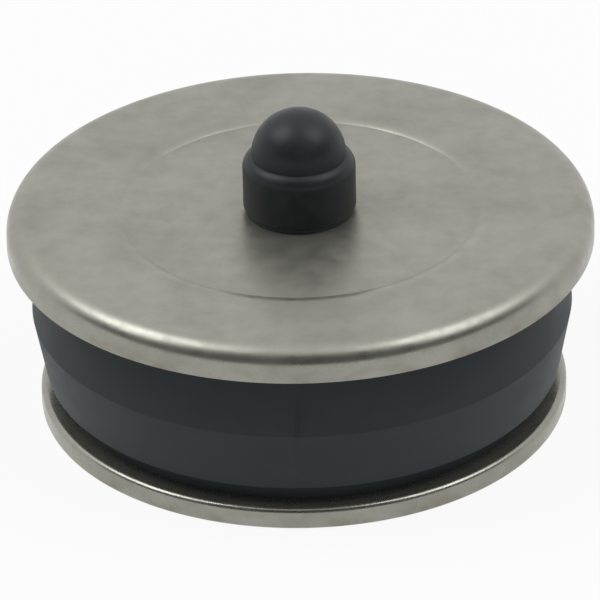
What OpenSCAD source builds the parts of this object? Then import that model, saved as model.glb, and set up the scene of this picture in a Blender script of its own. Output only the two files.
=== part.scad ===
// Expansion plug for the open end of a 110 mm drain pipe.
// A nut on a central bolt pulls two pressed steel plates together and squeezes a rubber ring
// between them, so that the ring swells against the inside of the pipe.
// The origin is on the bolt's axis, on the surface that the plug stands on.

/* [Plates] */
// Thickness of the pressed sheet of both plates
sheet_t = 1; // [0.8:0.05:1.25]
// Outside diameter of the top plate, which caps the pipe end
top_plate_d = 113; // [112.6:0.2:116]
// Height of the top plate's down-turned rim, from its top face to its edge
top_rim_h = 6.5; // [5.5:0.1:8]
// Inside radius of the rolled edge of the top plate
top_bend_r = 3.15; // [2:0.05:3.4]
// Outside diameter of the bottom plate, which goes inside the pipe
bottom_plate_d = 102.2; // [101.5:0.1:102.8]
// Height of the bottom plate's down-turned rim, which is also the foot of the plug
bottom_rim_h = 4.25; // [3.9:0.05:5.5]
// Inside radius of the corner of the bottom plate
bottom_bend_r = 0.15; // [0.05:0.05:1]
// Rounding of the outer lower edge of the bottom plate's rim
foot_edge_r = 0.6; // [0.2:0.05:0.7]

/* [Drawn centres] */
// Radius of the floor of the sunk centre of the top plate
sunk_floor_r = 34.4; // [31:0.1:34.9]
// How far the centre of the top plate is sunk
sunk_depth = 0.85; // [0.6:0.05:1.3]
// Radial width of the soft roll that leads down to the sunk floor
sunk_roll_w = 3; // [2:0.1:3.3]
// How far the centre of the bottom plate is raised, to clear the bolt head
raised_h = 3; // [2.8:0.1:4]
// Inside radius of the two bends of the raised centre
raised_bend_r = 1.5; // [1:0.1:2]
// Slope of the wall of the raised centre, in degrees from level
raised_slope = 55; // [45:1:65]

/* [Rubber ring] */
// Height of the ring between the plates, not squeezed
ring_h = 36.35; // [34:0.05:40]
// Diameter of the ring at its widest line
ring_d = 104.4; // [103:0.1:106]
// Height of the widest line above the ring's bottom face
ring_line_h = 16.65; // [14:0.05:18]
// Taper of the ring's flanks above and below that line, in degrees
ring_taper = 10.5; // [6:0.5:12]
// Height of each tapered flank
ring_flank_h = 12.75; // [10:0.05:13.5]
// How far the ring is cut in above and below its flanks
ring_undercut = 3; // [1.5:0.1:3.5]
// Chamfer on the edges of the ring
ring_edge = 0.4; // [0.2:0.05:0.6]
// Gap between the ring's bore and the drawn centres that locate it
ring_bore_gap = 0.35; // [0.3:0.05:1]

/* [Bolt and nut] */
// Nominal diameter of the thread
thread_d = 10; // [9:0.5:10]
// Length of the bolt under its head
bolt_l = 45; // [44:0.5:48]
// Diameter of the cup head
head_d = 24; // [22:0.5:26]
// Height of the cup head
head_h = 5.2; // [4.6:0.1:5.5]
// Height of the plain edge of the cup head
head_edge_h = 0.7; // [0.5:0.1:1]
// Length of the square neck under the head
neck_h = 5.5; // [4:0.5:7]
// Chamfer on the end of the bolt
bolt_chamfer = 0.9; // [0.5:0.1:1.2]
// Width across the flats of the nut
nut_af = 17; // [16:0.5:17]
// Height of the nut
nut_h = 8; // [7:0.1:8.2]
// Gap all round the bolt inside the nut
thread_gap = 0.05; // [0.02:0.01:0.08]
// Gap all round the bolt in the hole of the top plate
hole_gap = 0.5; // [0.35:0.05:1]
// Gap on each side of the square neck in the bottom plate
neck_gap = 0.15; // [0.1:0.05:0.3]

/* [Sealing washer] */
// Outside diameter of the washer
washer_d = 20.8; // [20:0.1:21.4]
// Thickness of the washer
washer_t = 1; // [0.8:0.05:1.3]
// Gap all round the bolt inside the washer
washer_gap = 0.3; // [0.3:0.05:0.6]

/* [Nut cap] */
// Diameter of the skirt of the cap
cap_d = 21.7; // [21.6:0.1:23]
// Diameter of the dome
dome_d = 18.2; // [17.6:0.1:18.6]
// Height of the cap
cap_h = 19.75; // [19.5:0.05:22]
// Height of the straight part of the skirt
skirt_h = 8.25; // [7.6:0.05:8.4]
// Height of the rounded shoulder between the skirt and the dome
shoulder_h = 2.5; // [1.9:0.1:2.8]
// Wall of the dome
cap_wall = 1.3; // [1:0.05:1.6]
// Gap between the nut and the cap's socket, on each flat
socket_gap = 0.3; // [0.28:0.01:0.32]
// Gap between the cap's lip and the washer under it
lip_gap = 0.1; // [0.05:0.05:0.3]
// Rounding of the lip of the skirt
lip_r = 0.35; // [0.2:0.05:0.4]

/* [Hidden] */
$fn = 96;

top_r = top_plate_d / 2;
top_roll_r = top_bend_r + sheet_t;
bottom_roll_r = bottom_bend_r + sheet_t;
bottom_r = bottom_plate_d / 2;
bolt_r = thread_d / 2;
ring_r = ring_d / 2;

// heights of the stack, from the foot up
bottom_face_z = bottom_rim_h;
top_under_z = bottom_face_z + ring_h;
top_face_z = top_under_z + sheet_t;
sunk_z = top_face_z - sunk_depth;
nut_z = sunk_z + washer_t;
cap_z = nut_z + lip_gap;
head_seat_z = bottom_face_z - sheet_t + raised_h;

// the soft roll of the sunk centre: an arc that starts level and drops by sunk_depth over sunk_roll_w
sunk_roll_r = (sunk_roll_w * sunk_roll_w + sunk_depth * sunk_depth) / (2 * sunk_depth);
sunk_outer_r = sunk_floor_r + sunk_roll_w;

// the ring's bore clears the widest part of both drawn centres
ring_bore_r = sunk_outer_r + ring_bore_gap;
ring_flank_in = ring_flank_h * tan(ring_taper);
ring_shoulder_r = ring_r - ring_flank_in;
ring_neck_r = ring_shoulder_r - ring_undercut;
ring_line_z = bottom_face_z + ring_line_h;

// the raised centre of the bottom plate: bend, straight wall, bend
raised_foot_r = sunk_outer_r;
bend_sum = 2 * raised_bend_r + sheet_t;
raised_wall = (raised_h - bend_sum * (1 - cos(raised_slope))) / sin(raised_slope);
raised_crown_r = raised_foot_r - bend_sum * sin(raised_slope) - raised_wall * cos(raised_slope);
neck_w = thread_d;

cap_r = cap_d / 2;
dome_r = dome_d / 2;
// the shoulder is an arc that leaves the skirt upright and meets the dome after shoulder_h
shoulder_w = cap_r - dome_r;
shoulder_r = (shoulder_w * shoulder_w + shoulder_h * shoulder_h) / (2 * shoulder_w);
dome_z = cap_h - dome_r;
socket_af = nut_af + 2 * socket_gap;
socket_h = nut_h - lip_gap + socket_gap;
// chamfer of the nut's corners, from level
corner_angle = 30;

// a pie slice of the plane about the origin, from angle a0 to angle a1
module slice(r, a0, a1) {
    polygon([[0, 0], for (a = [a0, (a0 + a1) / 2, a1]) 2 * r * [cos(a), sin(a)]]);
}

// half section of a solid block of radius r, from the foot up to z, with a rounded upper edge
module block_section(r, z, edge_r) {
    square([r - edge_r, z]);
    square([r, z - edge_r]);
    translate([r - edge_r, z - edge_r]) circle(edge_r);
}

// half section of what lies under a sunk plate's surface: back is 0 for the upper face and
// sheet_t for the lower one
module sunk_section(back) {
    difference() {
        block_section(top_r - back, top_face_z - back, top_roll_r - back);
        difference() {
            translate([0, sunk_z - back]) square([sunk_outer_r, 2 * sunk_depth]);
            translate([sunk_outer_r, top_face_z - sunk_roll_r]) circle(sunk_roll_r - back);
        }
    }
}

module top_plate() {
    color("darkgray") rotate_extrude() difference() {
        sunk_section(0);
        sunk_section(sheet_t);
        square([top_r, top_face_z - top_rim_h]);
        square([bolt_r + hole_gap, top_face_z]);
    }
}

// half section of what lies under a raised plate's surface, with back as above
module raised_section(back) {
    foot_r = raised_bend_r + back;
    crown_r = raised_bend_r + sheet_t - back;
    foot = [raised_foot_r, bottom_face_z + raised_bend_r];
    crown = [raised_crown_r, head_seat_z - raised_bend_r];
    lean = [sin(raised_slope), cos(raised_slope)];
    block_section(bottom_r - back, bottom_face_z - back, bottom_roll_r - back);
    difference() {
        polygon([
            [0, 0],
            [foot.x, 0],
            foot - [0, foot_r],
            foot - foot_r * lean,
            crown + crown_r * lean,
            crown + [0, crown_r],
            [0, crown.y + crown_r]
        ]);
        translate(foot) circle(foot_r);
    }
    translate(crown) intersection() {
        circle(crown_r);
        slice(crown_r, 90 - raised_slope, 90);
    }
}

// what the rounding takes off the outer lower edge of the rim
module foot_edge_section() {
    translate([bottom_r - foot_edge_r, 0]) difference() {
        square(foot_edge_r);
        translate([0, foot_edge_r]) circle(foot_edge_r);
    }
}

module bottom_plate() {
    hole_w = neck_w + 2 * neck_gap;
    color("silver") difference() {
        rotate_extrude() difference() {
            raised_section(0);
            raised_section(sheet_t);
            foot_edge_section();
        }
        translate([-hole_w / 2, -hole_w / 2, head_seat_z - sheet_t]) cube([hole_w, hole_w, 3 * sheet_t]);
    }
}

module seal_ring_section() {
    low_z = ring_line_z - ring_flank_h;
    high_z = ring_line_z + ring_flank_h;
    polygon([
        [ring_bore_r + ring_edge, bottom_face_z],
        [ring_neck_r, bottom_face_z],
        [ring_neck_r, low_z],
        [ring_shoulder_r - ring_edge, low_z],
        [ring_shoulder_r + ring_edge * tan(ring_taper), low_z + ring_edge],
        [ring_r, ring_line_z],
        [ring_shoulder_r + ring_edge * tan(ring_taper), high_z - ring_edge],
        [ring_shoulder_r - ring_edge, high_z],
        [ring_neck_r, high_z],
        [ring_neck_r, top_under_z],
        [ring_bore_r + ring_edge, top_under_z],
        [ring_bore_r, top_under_z - ring_edge],
        [ring_bore_r, bottom_face_z + ring_edge]
    ]);
}

module seal_ring() {
    color("darkslategray") rotate_extrude() seal_ring_section();
}

module cup_head() {
    dome_h = head_h - head_edge_h;
    ball_r = (head_d * head_d / 4 + dome_h * dome_h) / (2 * dome_h);
    translate([0, 0, head_seat_z - head_edge_h]) cylinder(h = head_edge_h, d = head_d);
    intersection() {
        translate([0, 0, head_seat_z - head_h + ball_r]) sphere(ball_r);
        translate([0, 0, head_seat_z - head_h]) cylinder(h = dome_h, d = head_d);
    }
}

module carriage_bolt() {
    color("gainsboro") {
        cup_head();
        translate([-neck_w / 2, -neck_w / 2, head_seat_z]) cube([neck_w, neck_w, neck_h]);
        translate([0, 0, head_seat_z]) cylinder(h = bolt_l - bolt_chamfer, r = bolt_r);
        translate([0, 0, head_seat_z + bolt_l - bolt_chamfer])
            cylinder(h = bolt_chamfer, r1 = bolt_r, r2 = bolt_r - bolt_chamfer);
    }
}

module sealing_washer() {
    color("black") translate([0, 0, sunk_z]) difference() {
        cylinder(h = washer_t, d = washer_d);
        translate([0, 0, -washer_t]) cylinder(h = 3 * washer_t, r = bolt_r + washer_gap);
    }
}

// a hexagon with chamfered corners on both faces
module nut_body() {
    tip_r = nut_af / 2 / cos(30);
    face_r = nut_af * 0.475;
    chamfer_h = (tip_r - face_r) * tan(corner_angle);
    intersection() {
        cylinder(h = nut_h, r = tip_r, $fn = 6);
        rotate_extrude() polygon([
            [0, 0],
            [face_r, 0],
            [tip_r, chamfer_h],
            [tip_r, nut_h - chamfer_h],
            [face_r, nut_h],
            [0, nut_h]
        ]);
    }
}

module hex_nut() {
    bore_r = bolt_r + thread_gap;
    lead = 0.6;
    color("lightgray") translate([0, 0, nut_z]) difference() {
        nut_body();
        translate([0, 0, -lead]) cylinder(h = nut_h + 2 * lead, r = bore_r);
        for (flip = [0, 1]) translate([0, 0, flip * nut_h]) mirror([0, 0, flip])
            cylinder(h = lead, r1 = bore_r + lead, r2 = bore_r);
    }
}

// outline of the cap: skirt, rounded shoulder and dome
module cap_outline() {
    translate([0, lip_r]) square([cap_r, skirt_h - lip_r]);
    square([cap_r - lip_r, lip_r]);
    translate([cap_r - lip_r, lip_r]) circle(lip_r);
    intersection() {
        translate([cap_r - shoulder_r, skirt_h]) circle(shoulder_r);
        translate([0, skirt_h]) square([cap_r, shoulder_h]);
    }
    translate([0, skirt_h]) square([dome_r, dome_z - skirt_h]);
    intersection() {
        translate([0, dome_z]) circle(dome_r);
        translate([0, dome_z]) square([dome_r, dome_r]);
    }
}

module nut_cap() {
    hollow_r = dome_r - cap_wall;
    color("dimgray") translate([0, 0, cap_z]) difference() {
        rotate_extrude() cap_outline();
        translate([0, 0, -lip_r]) cylinder(h = socket_h + lip_r, r = socket_af / 2 / cos(30), $fn = 6);
        cylinder(h = dome_z, r = hollow_r);
        translate([0, 0, dome_z]) sphere(hollow_r);
    }
}

bottom_plate();
carriage_bolt();
seal_ring();
top_plate();
sealing_washer();
hex_nut();
nut_cap();
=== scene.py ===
"""Dresses an expansion pipe plug: two pressed plates, a rubber ring, a bolt, a nut and its cap."""

import math

import bmesh
import bpy
from bpy.props import FloatProperty, FloatVectorProperty, IntProperty, PointerProperty
from bpy.types import Operator, Panel, PropertyGroup
from mathutils import Matrix, Vector


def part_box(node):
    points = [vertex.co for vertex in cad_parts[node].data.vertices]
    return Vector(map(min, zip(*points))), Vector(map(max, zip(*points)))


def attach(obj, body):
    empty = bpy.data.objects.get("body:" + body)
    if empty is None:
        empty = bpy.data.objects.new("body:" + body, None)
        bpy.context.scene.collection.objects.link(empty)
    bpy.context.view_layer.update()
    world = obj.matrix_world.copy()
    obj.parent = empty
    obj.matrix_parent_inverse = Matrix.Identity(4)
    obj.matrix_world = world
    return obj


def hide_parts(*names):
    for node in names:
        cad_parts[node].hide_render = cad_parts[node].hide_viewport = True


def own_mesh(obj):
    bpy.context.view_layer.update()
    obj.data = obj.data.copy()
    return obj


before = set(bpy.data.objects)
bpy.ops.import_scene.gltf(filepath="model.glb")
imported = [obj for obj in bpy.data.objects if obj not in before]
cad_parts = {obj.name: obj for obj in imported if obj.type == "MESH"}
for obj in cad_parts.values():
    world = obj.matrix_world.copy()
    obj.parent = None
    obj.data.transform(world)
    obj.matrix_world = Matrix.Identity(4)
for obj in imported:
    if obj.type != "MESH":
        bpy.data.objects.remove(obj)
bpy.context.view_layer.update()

bl_info = {
    "name": "Pipe Plug",
    "version": (1, 0, 0),
    "blender": (4, 5, 0),
    "location": "View3D > Sidebar > Pipe Plug",
    "description": "Builds the pieces of an expansion pipe plug round its frame",
    "category": "Add Mesh",
}

SPIN_STEPS = 288
ROUND_SEGMENTS = 12
SMOOTH_ANGLE = math.radians(28)


def length(name, description, default):
    return FloatProperty(
        name=name, description=description, default=default, min=0, precision=5, unit="LENGTH"
    )


def angle(name, description, degrees):
    return FloatProperty(
        name=name, description=description, default=math.radians(degrees), subtype="ANGLE"
    )


def share(name, description, default):
    return FloatProperty(
        name=name, description=description, default=default, min=0, max=1, subtype="FACTOR"
    )


def colour(name, description, default):
    return FloatVectorProperty(
        name=name, description=description, default=default, min=0, max=1, subtype="COLOR"
    )


class PlateSizes(PropertyGroup):
    sheet: length("Sheet", "Thickness of the pressed sheet", 0.001)
    top_bend: length("Top bend", "Inside radius of the top plate's rolled edge", 0.00315)
    sunk_floor: length("Sunk floor", "Radius of the sunk centre's floor", 0.0344)
    sunk_depth: length("Sunk depth", "How far the top plate's centre is sunk", 0.00085)
    sunk_roll: length("Sunk roll", "Width of the soft roll down to the sunk floor", 0.003)
    bolt_hole: length("Bolt hole", "Radius of the top plate's hole", 0.0055)
    bottom_bend: length("Bottom bend", "Inside radius of the bottom plate's corner", 0.00015)
    foot_edge: length("Foot edge", "Rounding of the bottom plate's lower edge", 0.0006)
    raised_bend: length("Raised bend", "Inside radius of the raised centre's bends", 0.0015)
    raised_slope: angle("Raised slope", "Slope of the raised centre's wall", 55)
    neck_hole: length("Neck hole", "Width of the square hole for the bolt's neck", 0.0103)
    edge_break: length("Edge break", "Rounding of the sheared edges", 0.00012)


class RingSizes(PropertyGroup):
    bore: length("Bore", "Radius of the ring's bore", 0.03775)
    line_height: length("Line height", "Height of the widest line above the ring's foot", 0.01665)
    flank: length("Flank", "Height of each tapered flank", 0.01275)
    taper: angle("Taper", "Taper of the flanks", 10.5)
    undercut: length("Undercut", "How far the ring is cut in past its flanks", 0.003)
    edge: length("Edge", "Rounding of the ring's edges", 0.0004)
    mark_width: length("Mark width", "Width of the moulded mark on the front", 0.0019)
    mark_height: length("Mark height", "Height of the moulded mark", 0.0023)
    mark_depth: length("Mark depth", "Depth of the moulded mark's groove", 0.00022)
    mark_above: length("Mark above", "Height of the mark over the widest line", 0.0013)
    mark_turn: angle("Mark turn", "Where the mark sits round the ring, from +X", 268.2)


class BoltSizes(PropertyGroup):
    crest: length("Crest", "Radius of the thread's crests", 0.005)
    pitch: length("Pitch", "Pitch of the thread", 0.0015)
    thread_depth: length("Thread depth", "Depth of the thread", 0.00092)
    thread_length: length("Thread length", "Length of the thread", 0.026)
    shank: length("Shank", "Radius of the plain shank", 0.0046)
    neck: length("Neck", "Width of the square neck", 0.01)
    neck_height: length("Neck height", "Height of the square neck", 0.0055)
    head_edge: length("Head edge", "Height of the cup head's plain edge", 0.0007)
    head_height: length("Head height", "Height of the cup head", 0.0052)
    tip: length("Tip", "Chamfer on the bolt's end", 0.0009)


class CapSizes(PropertyGroup):
    dome: length("Dome", "Radius of the dome", 0.0091)
    skirt: length("Skirt", "Height of the straight skirt", 0.00825)
    shoulder: length("Shoulder", "Height of the rounded shoulder", 0.0025)
    wall: length("Wall", "Wall of the dome", 0.0013)
    socket: length("Socket", "Width across the flats of the cap's socket", 0.0176)
    socket_depth: length("Socket depth", "Depth of the cap's socket", 0.0082)
    lip: length("Lip", "Rounding of the cap's lip", 0.00035)
    washer_bore: length("Washer bore", "Radius of the sealing washer's bore", 0.0053)
    washer_edge: length("Washer edge", "Rounding of the washer's edges", 0.00025)


class Finishes(PropertyGroup):
    steel: colour("Steel", "Dull sheet steel", (0.318, 0.315, 0.276))
    steel_cloud: colour("Steel cloud", "Darker clouds in the steel", (0.262, 0.258, 0.224))
    # Darker, browner tone mixed into the steel in patches, more of it the lower it lies on each plate's rim.
    steel_low_tone: colour("Steel low tone", "Browner and darker towards the bottom of the rims", (0.2, 0.18, 0.125))
    steel_rough: share("Steel roughness", "Roughness of the sheet", 0.36)
    zinc: colour("Zinc", "Plating of the bolt and nut", (0.42, 0.42, 0.4))
    rubber: colour("Rubber", "Moulded rubber of the ring", (0.0205, 0.026, 0.029))
    rubber_rough: share("Rubber roughness", "Roughness of the rubber", 0.52)
    plastic: colour("Plastic", "Plastic of the cap", (0.012, 0.0135, 0.0155))
    plastic_rough: share("Plastic roughness", "Roughness of the cap", 0.42)


class StageSizes(PropertyGroup):
    distance: length("Distance", "From the camera to the middle of the top plate", 1.24865)
    look_down: angle("Look down", "How far the camera looks down", 29.22)
    roll: angle("Roll", "How far the camera is turned about its line of sight", -1.328)
    tilt: angle("Tilt", "How far the camera looks below the middle of the top plate", 0.8455)
    pan: angle("Pan", "How far the camera looks to its left", 0.0183)
    lens: FloatProperty(name="Lens", description="Focal length in mm", default=390.4, min=1)
    side_power: FloatProperty(name="Side lamps", description="Power of each side lamp", default=7.0)
    fill: share("Fill", "Light that comes from all round", 0.42)


def sizes(name):
    """The values of one group of sizes or finishes."""
    return getattr(bpy.context.scene, "plug_" + name)


def add_node(tree, kind, inputs=None, **settings):
    """Adds a shader node; an input is a value or the socket that feeds it."""
    made = tree.nodes.new("ShaderNode" + kind)
    for key, value in settings.items():
        setattr(made, key, value)
    for key, value in (inputs or {}).items():
        if isinstance(value, bpy.types.NodeSocket):
            tree.links.new(value, made.inputs[key])
        else:
            made.inputs[key].default_value = value
    return made


def new_material(name):
    """A material with its shader, its tree and object coordinates."""
    material = bpy.data.materials.new(name)
    material.use_nodes = True
    tree = material.node_tree
    shader = tree.nodes["Principled BSDF"]
    place = add_node(tree, "TexCoord").outputs["Object"]
    return material, tree, shader, place


def noise(tree, place, size, detail=3.0, roughness=0.55, stretch=(1, 1, 1)):
    """Noise whose features are about as large as size, in metres."""
    scaled = add_node(tree, "Mapping", {"Vector": place, "Scale": [1 / size / s for s in stretch]})
    made = add_node(
        tree,
        "TexNoise",
        {"Vector": scaled.outputs["Vector"], "Scale": 1.0, "Detail": detail, "Roughness": roughness},
    )
    return made.outputs["Fac"]


def spread(tree, value, low, high, to_low=0.0, to_high=1.0):
    """Maps low..high to to_low..to_high, held at both ends."""
    made = add_node(
        tree,
        "MapRange",
        {"Value": value, "From Min": low, "From Max": high, "To Min": to_low, "To Max": to_high},
    )
    return made.outputs["Result"]


def calc(tree, operation, a, b=0.0):
    """One step of arithmetic between sockets or numbers."""
    made = add_node(tree, "Math", operation=operation)
    for socket, value in zip(made.inputs, (a, b)):
        if isinstance(value, bpy.types.NodeSocket):
            tree.links.new(value, socket)
        else:
            socket.default_value = value
    return made.outputs["Value"]


def blend_colours(tree, amount, a, b):
    """Colour a where amount is 0 and b where it is 1."""
    made = add_node(tree, "Mix", data_type="RGBA")
    for socket, value in ((made.inputs[0], amount), (made.inputs[6], a), (made.inputs[7], b)):
        if isinstance(value, bpy.types.NodeSocket):
            tree.links.new(value, socket)
        elif isinstance(value, float):
            socket.default_value = value
        else:
            socket.default_value = (*value, 1)
    return made.outputs[2]


def raise_bump(tree, shader, height, depth, strength=1.0):
    """Bump from a height of 0 to 1 that stands for depth, in metres."""
    made = add_node(tree, "Bump", {"Height": height, "Distance": depth, "Strength": strength})
    tree.links.new(made.outputs["Normal"], shader.inputs["Normal"])


def near_spot(tree, place, spot, radius):
    """1 at a spot on the surface, falling to 0 at radius."""
    gap = add_node(tree, "VectorMath", {0: place, 1: spot}, operation="DISTANCE")
    return spread(tree, gap.outputs["Value"], radius * 0.45, radius, 1.0, 0.0)


def sheet_steel(name, top, bottom):
    """Dull pressed sheet, cloudy, darker and browner in patches towards the bottom of the rim."""
    look = sizes("finishes")
    material, tree, shader, place = new_material(name)
    cloud = noise(tree, place, 0.016, detail=4.0, roughness=0.62)
    haze = noise(tree, place, 0.0045, detail=3.0, roughness=0.6)
    grain = noise(tree, place, 0.0007, detail=2.0)
    clouds = calc(tree, "ADD", spread(tree, cloud, 0.42, 0.68, 0, 0.75), spread(tree, haze, 0.4, 0.7, 0, 0.4))
    tone = blend_colours(tree, calc(tree, "MINIMUM", clouds, 1.0), look.steel, look.steel_cloud)
    # Darker, browner tone in patches: none near the top of the rim, most at its bottom edge.
    height = add_node(tree, "SeparateXYZ", {"Vector": place}).outputs["Z"]
    low_down = spread(tree, height, top, bottom, 0.0, 1.0)
    patches = spread(tree, noise(tree, place, 0.007, detail=4.0, stretch=(1, 1, 0.6)), 0.46, 0.66)
    low_tone_amount = calc(tree, "MULTIPLY", calc(tree, "MULTIPLY", low_down, patches), 0.75)
    tone = blend_colours(tree, low_tone_amount, tone, look.steel_low_tone)
    tree.links.new(tone, shader.inputs["Base Color"])
    shader.inputs["Metallic"].default_value = 0.82
    rough = look.steel_rough
    flat_rough = spread(tree, haze, 0.3, 0.7, rough - 0.05, rough + 0.08)
    drawn = spread(tree, height, top, top + 0.002, 0.75, 1.0)
    tree.links.new(calc(tree, "MULTIPLY", flat_rough, drawn), shader.inputs["Roughness"])
    raise_bump(tree, shader, grain, 0.00001)
    return material


def zinc_plate(name):
    """Bright zinc on the bolt and the nut, a little clouded."""
    look = sizes("finishes")
    material, tree, shader, place = new_material(name)
    cloud = spread(tree, noise(tree, place, 0.003), 0.35, 0.7)
    dark = tuple(0.72 * part for part in look.zinc)
    tree.links.new(blend_colours(tree, cloud, look.zinc, dark), shader.inputs["Base Color"])
    shader.inputs["Metallic"].default_value = 0.95
    tree.links.new(spread(tree, cloud, 0, 1, 0.26, 0.4), shader.inputs["Roughness"])
    raise_bump(tree, shader, noise(tree, place, 0.0004), 0.000006)
    return material


def moulded_rubber(name):
    """Dark, slightly bluish rubber with a dull sheen and faint bloom."""
    look = sizes("finishes")
    material, tree, shader, place = new_material(name)
    bloom = spread(tree, noise(tree, place, 0.012, detail=4.0, stretch=(1, 1, 0.5)), 0.4, 0.72)
    pale = tuple(1.35 * part for part in look.rubber)
    tree.links.new(blend_colours(tree, bloom, look.rubber, pale), shader.inputs["Base Color"])
    rough = look.rubber_rough
    tree.links.new(spread(tree, bloom, 0, 1, rough, rough + 0.1), shader.inputs["Roughness"])
    shader.inputs["Specular IOR Level"].default_value = 0.25
    raise_bump(tree, shader, noise(tree, place, 0.0005, detail=2.0), 0.000012)
    return material


def grained_plastic(name):
    """Black plastic with a fine grain and a soft sheen."""
    look = sizes("finishes")
    material, tree, shader, place = new_material(name)
    wear = spread(tree, noise(tree, place, 0.004, detail=4.0), 0.45, 0.75)
    pale = tuple(1.5 * part for part in look.plastic)
    tree.links.new(blend_colours(tree, wear, look.plastic, pale), shader.inputs["Base Color"])
    rough = look.plastic_rough
    tree.links.new(spread(tree, wear, 0, 1, rough, rough + 0.12), shader.inputs["Roughness"])
    shader.inputs["Specular IOR Level"].default_value = 0.3
    raise_bump(tree, shader, noise(tree, place, 0.00035, detail=2.0), 0.000012)
    return material


def rounding_reach(before, corner, after, radius):
    """How far from a corner an arc of that radius leaves both lines."""
    a = (Vector(before) - Vector(corner)).normalized()
    b = (Vector(after) - Vector(corner)).normalized()
    return radius / math.tan(a.angle(b) / 2)


def spin_outline(bm, corners, closed=True, steps=SPIN_STEPS):
    """Spins an outline of (radius, height, rounding) corners a full turn about the axis."""
    points = [(r, 0, z) for r, z, _ in corners]
    verts = [bm.verts.new(point) for point in points]
    ends = list(zip(verts, verts[1:] + verts[:1]))
    edges = [bm.edges.new(pair) for pair in (ends if closed else ends[:-1])]
    outline = set(verts)
    for i, (_, _, radius) in enumerate(corners):
        if radius:
            before, after = points[i - 1], points[(i + 1) % len(points)]
            rounded = bmesh.ops.bevel(
                bm,
                geom=[verts[i]],
                offset=rounding_reach(before, points[i], after, radius),
                offset_type="OFFSET",
                affect="VERTICES",
                segments=ROUND_SEGMENTS,
                profile=0.5,
                material=-1,
                clamp_overlap=False,
            )
            outline.discard(verts[i])
            outline.update(rounded["verts"])
    edges = {edge for vert in outline for edge in vert.link_edges}
    bmesh.ops.spin(
        bm,
        geom=list(outline) + list(edges),
        axis=(0, 0, 1),
        cent=(0, 0, 0),
        dvec=(0, 0, 0),
        angle=math.tau,
        steps=steps,
        use_merge=True,
    )


def boundary(bm, height, radius):
    """The open edges at a height, no further out than radius."""
    small = 1e-6
    return [
        edge
        for edge in bm.edges
        if len(edge.link_faces) == 1
        and all(abs(v.co.z - height) < small and v.co.xy.length < radius + small for v in edge.verts)
    ]


def polygon_loop(bm, sides, across, height, turn=0.0):
    """A regular polygon's outline at a height, with as many points as a spin has."""
    corner = across / 2 / math.cos(math.pi / sides)
    place = Matrix.Translation((0, 0, height)) @ Matrix.Rotation(turn, 4, "Z")
    loop = bmesh.ops.create_circle(bm, cap_ends=False, radius=corner, segments=sides, matrix=place)
    edges = list({edge for vert in loop["verts"] for edge in vert.link_edges})
    bmesh.ops.subdivide_edges(bm, edges=edges, cuts=SPIN_STEPS // sides - 1)
    return [e for e in bm.edges if e.is_wire and abs(e.verts[0].co.z - height) < 1e-6]


def finish_piece(name, bm, material, slot, body, *nodes, merge=1e-6):
    """Makes the piece of the mesh that was built, in the place of the nodes that it stands for."""
    bmesh.ops.remove_doubles(bm, verts=bm.verts, dist=merge)
    bmesh.ops.recalc_face_normals(bm, faces=bm.faces)
    mesh = bpy.data.meshes.new(name)
    bm.to_mesh(mesh)
    bm.free()
    mesh.materials.append(material)
    mesh.shade_smooth()
    mesh.set_sharp_from_angle(angle=SMOOTH_ANGLE)
    piece = bpy.data.objects.new(name, mesh)
    bpy.context.scene.collection.objects.link(piece)
    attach(piece, body)
    if nodes:
        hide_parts(*nodes)
    return piece


class PLUG_OT_top_plate(Operator):
    """Spins the top plate: a sunk centre, a flat ring and a rolled rim"""

    bl_idname = "plug.top_plate"
    bl_label = "Top Plate"

    def execute(self, context):
        size = sizes("plates")
        low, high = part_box("top_plate")
        radius, sheet, broken = high.x, size.sheet, size.edge_break
        sunk = high.z - size.sunk_depth
        roll = (size.sunk_roll**2 + size.sunk_depth**2) / (2 * size.sunk_depth)
        slope = math.asin(size.sunk_roll / roll)
        bend = size.sunk_floor + size.sunk_roll - roll * math.tan(slope / 2)
        under = roll - sheet
        under_slope = math.acos(1 - size.sunk_depth / under)
        under_bend = size.sunk_floor + size.sunk_roll - under * math.tan(under_slope / 2)
        under_floor = size.sunk_floor + size.sunk_roll - under * math.sin(under_slope)
        bm = bmesh.new()
        spin_outline(
            bm,
            [
                (size.bolt_hole, sunk, broken),
                (size.sunk_floor, sunk, 0),
                (bend, high.z, roll),
                (radius, high.z, size.top_bend + sheet),
                (radius, low.z, broken),
                (radius - sheet, low.z, broken),
                (radius - sheet, high.z - sheet, size.top_bend),
                (under_bend, high.z - sheet, under),
                (under_floor, sunk - sheet, 0),
                (size.bolt_hole, sunk - sheet, broken),
            ],
        )
        material = sheet_steel("top_plate_steel", high.z - 0.003, low.z)
        finish_piece("top_plate_pressing", bm, material, "plate_steel", "lid", "top_plate")
        return {"FINISHED"}


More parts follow.
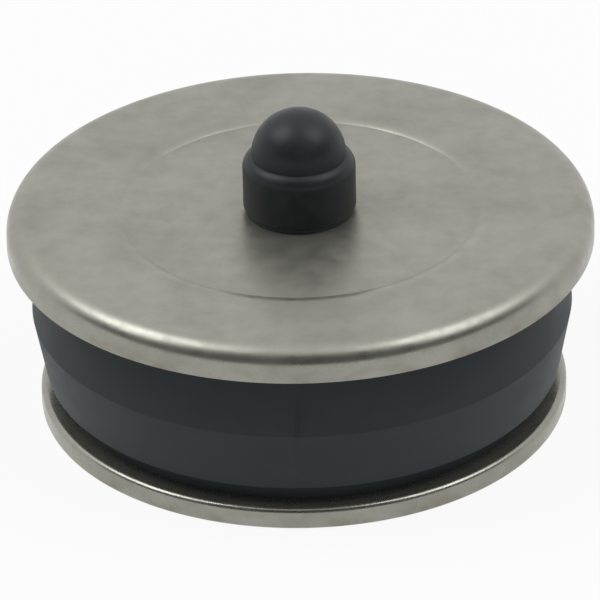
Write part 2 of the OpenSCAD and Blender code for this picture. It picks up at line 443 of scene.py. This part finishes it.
class PLUG_OT_bottom_plate(Operator):
    """Spins the bottom plate: a raised centre, a flat ring and a low rim"""

    bl_idname = "plug.bottom_plate"
    bl_label = "Bottom Plate"

    def execute(self, context):
        size = sizes("plates")
        low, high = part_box("bottom_plate")
        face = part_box("seal_ring")[0].z
        radius, sheet, broken = high.x, size.sheet, size.edge_break
        centre = high.z
        foot = size.sunk_floor + size.sunk_roll
        bends = 2 * size.raised_bend + sheet
        slope = size.raised_slope
        wall = (centre - face - bends * (1 - math.cos(slope))) / math.sin(slope)
        crown = foot - bends * math.sin(slope) - wall * math.cos(slope)
        turn = math.tan(slope / 2)
        mouth = size.neck_hole * 0.75
        inner, outer = size.raised_bend, size.raised_bend + sheet
        bm = bmesh.new()
        spin_outline(
            bm,
            [
                (mouth, centre, 0),
                (crown + outer * turn, centre, outer),
                (foot - inner * turn, face, inner),
                (radius, face, size.bottom_bend + sheet),
                (radius, low.z, size.foot_edge),
                (radius - sheet, low.z, broken),
                (radius - sheet, face - sheet, size.bottom_bend),
                (foot - outer * turn, face - sheet, outer),
                (crown + inner * turn, centre - sheet, inner),
                (mouth, centre - sheet, 0),
            ],
            closed=False,
        )
        square = []
        for height in (centre, centre - sheet):
            square.append(polygon_loop(bm, 4, size.neck_hole, height, math.pi / 4))
            bmesh.ops.bridge_loops(bm, edges=boundary(bm, height, mouth) + square[-1])
        bmesh.ops.bridge_loops(bm, edges=square[0] + square[1])
        material = sheet_steel("bottom_plate_steel", face, low.z)
        finish_piece("bottom_plate_pressing", bm, material, "plate_steel", "base", "bottom_plate")
        return {"FINISHED"}


def press_mark(bm, size, radius, height):
    """Presses the small oval mark into the front of the ring."""
    out = Vector((math.cos(size.mark_turn), math.sin(size.mark_turn), 0))
    side = Vector((-out.y, out.x, 0))
    centre = out * radius + Vector((0, 0, height))

    def reach(point):
        away = point - centre
        across = away.dot(side) / (size.mark_width / 2)
        up = away.z / (size.mark_height / 2)
        return math.hypot(across, up) if point.dot(out) > 0 else math.inf

    faces = [f for f in bm.faces if reach(f.calc_center_median()) < 2.6 and f.normal.dot(out) > 0.5]
    for cuts in (3, 3):
        edges = list({edge for face in faces for edge in face.edges})
        bmesh.ops.subdivide_edges(bm, edges=edges, cuts=cuts, use_grid_fill=True)
        faces = [f for f in bm.faces if reach(f.calc_center_median()) < 1.7 and f.normal.dot(out) > 0.5]
    for vert in bm.verts:
        off = abs(reach(vert.co) - 0.8)
        if off < 0.45:
            vert.co -= out * size.mark_depth * math.cos(off / 0.45 * math.pi / 2) ** 2


class PLUG_OT_seal_ring(Operator):
    """Spins the rubber ring, with its tapered flanks and the mould's line between them"""

    bl_idname = "plug.seal_ring"
    bl_label = "Seal Ring"

    def execute(self, context):
        size = sizes("ring")
        low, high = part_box("seal_ring")
        line = low.z + size.line_height
        shoulder = high.x - size.flank * math.tan(size.taper)
        neck = shoulder - size.undercut
        bm = bmesh.new()
        spin_outline(
            bm,
            [
                (size.bore, low.z, size.edge),
                (neck, low.z, 0),
                (neck, line - size.flank, 0),
                (shoulder, line - size.flank, size.edge),
                (high.x, line, size.edge),
                (shoulder, line + size.flank, size.edge),
                (neck, line + size.flank, 0),
                (neck, high.z, 0),
                (size.bore, high.z, size.edge),
            ],
        )
        bmesh.ops.recalc_face_normals(bm, faces=bm.faces)
        press_mark(bm, size, high.x, line + size.mark_above)
        ring = finish_piece(
            "rubber_ring", bm, moulded_rubber("ring_rubber"), "ring_rubber", "base", "seal_ring"
        )
        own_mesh(ring)
        return {"FINISHED"}


def wind_thread(bm, size, start, end):
    """Winds the thread between two heights, cut square at its start and tapered at its end."""
    root = size.crest - size.thread_depth
    turn_steps = 40
    turns = math.ceil((end - start) / size.pitch) + 1
    first = start - size.pitch / 2
    outline = [(root, 0), (size.crest, 0.42), (size.crest, 0.54), (root, 0.96), (root, 1)]
    verts = [bm.verts.new((r, 0, first + share * size.pitch)) for r, share in outline]
    edges = [bm.edges.new(pair) for pair in zip(verts, verts[1:])]
    bmesh.ops.spin(
        bm,
        geom=verts + edges,
        axis=(0, 0, 1),
        cent=(0, 0, 0),
        dvec=(0, 0, size.pitch / turn_steps),
        angle=math.tau * turns,
        steps=turn_steps * turns,
        use_merge=False,
    )
    bmesh.ops.remove_doubles(bm, verts=bm.verts, dist=2e-6)
    for height, up in ((start, -1), (end - size.tip, 1)):
        cut = bmesh.ops.bisect_plane(
            bm,
            geom=bm.verts[:] + bm.edges[:] + bm.faces[:],
            plane_co=(0, 0, height),
            plane_no=(0, 0, up),
            clear_outer=True,
        )
        rim = [e for e in cut["geom_cut"] if isinstance(e, bmesh.types.BMEdge)]
        if up > 0:
            raised = bmesh.ops.extrude_edge_only(bm, edges=rim)["geom"]
            tip = [e for e in raised if isinstance(e, bmesh.types.BMVert)]
            narrow = (size.crest - size.tip) / size.crest
            bmesh.ops.scale(bm, verts=tip, vec=(narrow, narrow, 1))
            bmesh.ops.translate(bm, verts=tip, vec=(0, 0, size.tip))
            rim = [e for e in raised if isinstance(e, bmesh.types.BMEdge)]
        bmesh.ops.contextual_create(bm, geom=rim)


class PLUG_OT_carriage_bolt(Operator):
    """Builds the bolt: cup head, square neck, plain shank and wound thread"""

    bl_idname = "plug.carriage_bolt"
    bl_label = "Carriage Bolt"

    def execute(self, context):
        size = sizes("bolt")
        low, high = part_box("carriage_bolt")
        seat = low.z + size.head_height
        thread_start = high.z - size.thread_length
        bm = bmesh.new()
        wind_thread(bm, size, thread_start, high.z)
        rise = size.head_height - size.head_edge
        ball = (high.x**2 + rise**2) / (2 * rise)
        slope = math.asin(high.x / ball)
        reach = ball * math.tan(slope / 2)
        spin_outline(
            bm,
            [
                (0, low.z, 0),
                (reach, low.z, ball * 0.999),
                (high.x, seat - size.head_edge, 0),
                (high.x, seat, 0.0002),
                (0, seat, 0),
            ],
            closed=False,
        )
        spin_outline(
            bm,
            [
                (0, seat, 0),
                (size.shank, seat, 0),
                (size.shank, thread_start + size.pitch / 4, 0),
                (0, thread_start + size.pitch / 4, 0),
            ],
            closed=False,
        )
        half = size.neck / 2
        block = bmesh.ops.create_cube(bm, size=1.0)["verts"]
        bmesh.ops.scale(bm, verts=block, vec=(size.neck, size.neck, size.neck_height))
        bmesh.ops.translate(bm, verts=block, vec=(0, 0, seat + size.neck_height / 2))
        upright = [
            edge
            for edge in {e for v in block for e in v.link_edges}
            if abs(edge.verts[0].co.z - edge.verts[1].co.z) > half / 2
        ]
        bmesh.ops.bevel(
            bm, geom=upright, offset=0.0006, affect="EDGES", segments=3, profile=0.5, material=-1
        )
        finish_piece(
            "threaded_bolt", bm, zinc_plate("bolt_zinc"), "bolt_steel", "base", "carriage_bolt"
        )
        return {"FINISHED"}


class PLUG_OT_hex_nut(Operator):
    """Plates the hexagon nut"""

    bl_idname = "plug.hex_nut"
    bl_label = "Hex Nut"

    def execute(self, context):
        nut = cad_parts["hex_nut"]
        nut.data.materials.clear()
        nut.data.materials.append(zinc_plate("nut_zinc"))
        return {"FINISHED"}


class PLUG_OT_sealing_washer(Operator):
    """Spins the thin washer under the nut and the cap"""

    bl_idname = "plug.sealing_washer"
    bl_label = "Sealing Washer"

    def execute(self, context):
        size = sizes("cap")
        low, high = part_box("sealing_washer")
        bm = bmesh.new()
        spin_outline(
            bm,
            [
                (size.washer_bore, high.z, size.washer_edge),
                (high.x, high.z, size.washer_edge),
                (high.x, low.z, size.washer_edge),
                (size.washer_bore, low.z, size.washer_edge),
            ],
        )
        finish_piece(
            "washer_disc",
            bm,
            moulded_rubber("washer_rubber"),
            "washer_rubber",
            "lid",
            "sealing_washer",
        )
        return {"FINISHED"}


class PLUG_OT_nut_cap(Operator):
    """Spins the domed cap and opens its six-sided socket"""

    bl_idname = "plug.nut_cap"
    bl_label = "Nut Cap"

    def execute(self, context):
        size = sizes("cap")
        low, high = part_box("nut_cap")
        radius, dome = high.x, size.dome
        step = radius - dome
        arc = (step**2 + size.shoulder**2) / (2 * step)
        rise = arc * math.tan(math.asin(size.shoulder / arc) / 2)
        hollow = dome - size.wall
        mouth = radius - size.lip
        top = low.z + size.socket_depth
        bm = bmesh.new()
        spin_outline(
            bm,
            [
                (0, high.z, 0),
                (dome, high.z, dome),
                (dome, low.z + size.skirt + size.shoulder, 0),
                (radius, low.z + size.skirt + rise, arc * 0.999),
                (radius, low.z, size.lip),
                (mouth, low.z, 0),
            ],
            closed=False,
        )
        spin_outline(
            bm,
            [
                (0, high.z - size.wall, 0),
                (hollow, high.z - size.wall, hollow),
                (hollow, top, 0),
            ],
            closed=False,
        )
        socket = [polygon_loop(bm, 6, size.socket, height) for height in (low.z, top)]
        bmesh.ops.bridge_loops(bm, edges=boundary(bm, low.z, radius) + socket[0])
        bmesh.ops.bridge_loops(bm, edges=socket[0] + socket[1])
        bmesh.ops.bridge_loops(bm, edges=socket[1] + boundary(bm, top, hollow))
        finish_piece("domed_cap", bm, grained_plastic("cap_plastic"), "cap_plastic", "cap", "nut_cap")
        return {"FINISHED"}


def soft_lamp(name, towards, distance, size, power):
    """A square lamp that shines on the plug from a direction."""
    data = bpy.data.lights.new(name, "AREA")
    data.shape = "SQUARE"
    data.size = size
    data.energy = power
    lamp = bpy.data.objects.new(name, data)
    bpy.context.scene.collection.objects.link(lamp)
    away = Vector(towards).normalized()
    lamp.location = away * distance
    lamp.rotation_mode = "QUATERNION"
    lamp.rotation_quaternion = away.to_track_quat("Z", "Y")
    return lamp


class PLUG_OT_stage(Operator):
    """Sets up the floor, the backdrop, the lamps and the camera"""

    bl_idname = "plug.stage"
    bl_label = "Stage"

    def execute(self, context):
        scene = context.scene
        scene.view_settings.view_transform = "Standard"
        self.make_world(scene)
        self.make_floor(scene)
        self.make_screen(scene)
        size = sizes("stage")
        soft_lamp("left_lamp", (-0.56, 0.01, 0.83), 1.3, 0.7, size.side_power)
        soft_lamp("right_lamp", (0.56, -0.08, 0.83), 1.3, 0.7, size.side_power * 0.85)
        self.make_camera(scene, size)
        return {"FINISHED"}

    def make_world(self, scene):
        world = bpy.data.worlds.new("studio")
        scene.world = world
        world.use_nodes = True
        tree = world.node_tree
        tree.nodes.clear()
        path = add_node(tree, "LightPath").outputs
        seen = calc(tree, "MAXIMUM", path["Is Camera Ray"], path["Is Glossy Ray"])
        seen = calc(tree, "MAXIMUM", seen, path["Is Transmission Ray"])
        white = add_node(tree, "Background", {"Color": (1, 1, 1, 1), "Strength": 1.0})
        fill = sizes("stage").fill
        soft = add_node(tree, "Background", {"Color": (1, 1, 1, 1), "Strength": fill})
        both = add_node(tree, "MixShader", {0: seen, 1: soft.outputs[0], 2: white.outputs[0]})
        out = add_node(tree, "OutputWorld")
        tree.links.new(both.outputs[0], out.inputs["Surface"])

    def make_floor(self, scene):
        bm = bmesh.new()
        bmesh.ops.create_grid(bm, x_segments=2, y_segments=2, size=3.0)
        mesh = bpy.data.meshes.new("floor")
        bm.to_mesh(mesh)
        bm.free()
        floor = bpy.data.objects.new("floor", mesh)
        scene.collection.objects.link(floor)
        material, tree, shader, place = new_material("pale_floor")
        shader.inputs["Base Color"].default_value = (0.8, 0.8, 0.8, 1)
        shader.inputs["Roughness"].default_value = 0.9
        path = add_node(tree, "LightPath").outputs
        seen = calc(tree, "MAXIMUM", path["Is Camera Ray"], path["Is Glossy Ray"])
        seen = calc(tree, "MULTIPLY", seen, 0.9)
        white = add_node(tree, "Emission", {"Color": (1, 1, 1, 1), "Strength": 1.0})
        both = add_node(tree, "MixShader", {0: seen, 1: shader.outputs[0], 2: white.outputs[0]})
        tree.links.new(both.outputs[0], tree.nodes["Material Output"].inputs["Surface"])
        mesh.materials.append(material)

    def make_screen(self, scene):
        """A dark screen before the plug, unseen itself, that shows only in what shines."""
        bm = bmesh.new()
        bmesh.ops.create_cone(
            bm, cap_ends=False, segments=64, radius1=2.2, radius2=1.2, depth=1.8,
            matrix=Matrix.Translation((0, 0, 1.35)),
        )
        behind = [face for face in bm.faces if face.calc_center_median().y > 0.2]
        bmesh.ops.delete(bm, geom=behind, context="FACES")
        mesh = bpy.data.meshes.new("dark_screen")
        bm.to_mesh(mesh)
        bm.free()
        screen = bpy.data.objects.new("dark_screen", mesh)
        scene.collection.objects.link(screen)
        material, tree, shader, place = new_material("dark_cloth")
        shader.inputs["Base Color"].default_value = (0.02, 0.02, 0.02, 1)
        shader.inputs["Roughness"].default_value = 1.0
        mesh.materials.append(material)
        screen.visible_camera = False
        screen.visible_diffuse = False
        screen.visible_shadow = False

    def make_camera(self, scene, size):
        data = bpy.data.cameras.new("camera")
        camera = bpy.data.objects.new("camera", data)
        scene.collection.objects.link(camera)
        scene.camera = camera
        data.lens = size.lens
        data.clip_end = 20.0
        look = Vector((0, math.cos(size.look_down), -math.sin(size.look_down)))
        centre = Vector((0, 0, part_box("top_plate")[1].z))
        turns = ((math.pi / 2 - size.look_down, "X"), (-size.tilt, "X"), (size.pan, "Y"), (size.roll, "Z"))
        place = Matrix.Translation(centre - size.distance * look)
        for turn, about in turns:
            place @= Matrix.Rotation(turn, 4, about)
        camera.matrix_world = place


PIECES = (
    PLUG_OT_top_plate,
    PLUG_OT_bottom_plate,
    PLUG_OT_seal_ring,
    PLUG_OT_carriage_bolt,
    PLUG_OT_hex_nut,
    PLUG_OT_sealing_washer,
    PLUG_OT_nut_cap,
)
GROUPS = {
    "plates": PlateSizes,
    "ring": RingSizes,
    "bolt": BoltSizes,
    "cap": CapSizes,
    "finishes": Finishes,
    "stage": StageSizes,
}


class PLUG_PT_panel(Panel):
    """Lists the pieces and their sizes"""

    bl_idname = "PLUG_PT_panel"
    bl_label = "Pipe Plug"
    bl_space_type = "VIEW_3D"
    bl_region_type = "UI"
    bl_category = "Pipe Plug"

    def draw(self, context):
        layout = self.layout
        for name, group in GROUPS.items():
            box = layout.box()
            box.label(text=name.capitalize())
            for key in group.__annotations__:
                box.prop(getattr(context.scene, "plug_" + name), key)
        for operator in PIECES + (PLUG_OT_stage,):
            layout.operator(operator.bl_idname)


CLASSES = tuple(GROUPS.values()) + PIECES + (PLUG_OT_stage, PLUG_PT_panel)


def register():
    for made in CLASSES:
        bpy.utils.register_class(made)
    for name, group in GROUPS.items():
        setattr(bpy.types.Scene, "plug_" + name, PointerProperty(type=group))


def unregister():
    for name in GROUPS:
        delattr(bpy.types.Scene, "plug_" + name)
    for made in reversed(CLASSES):
        bpy.utils.unregister_class(made)


def main():
    register()
    for operator in PIECES:
        getattr(bpy.ops.plug, operator.bl_idname.split(".")[1])()
    bpy.ops.plug.stage()


if __name__ == "__main__":
    main()
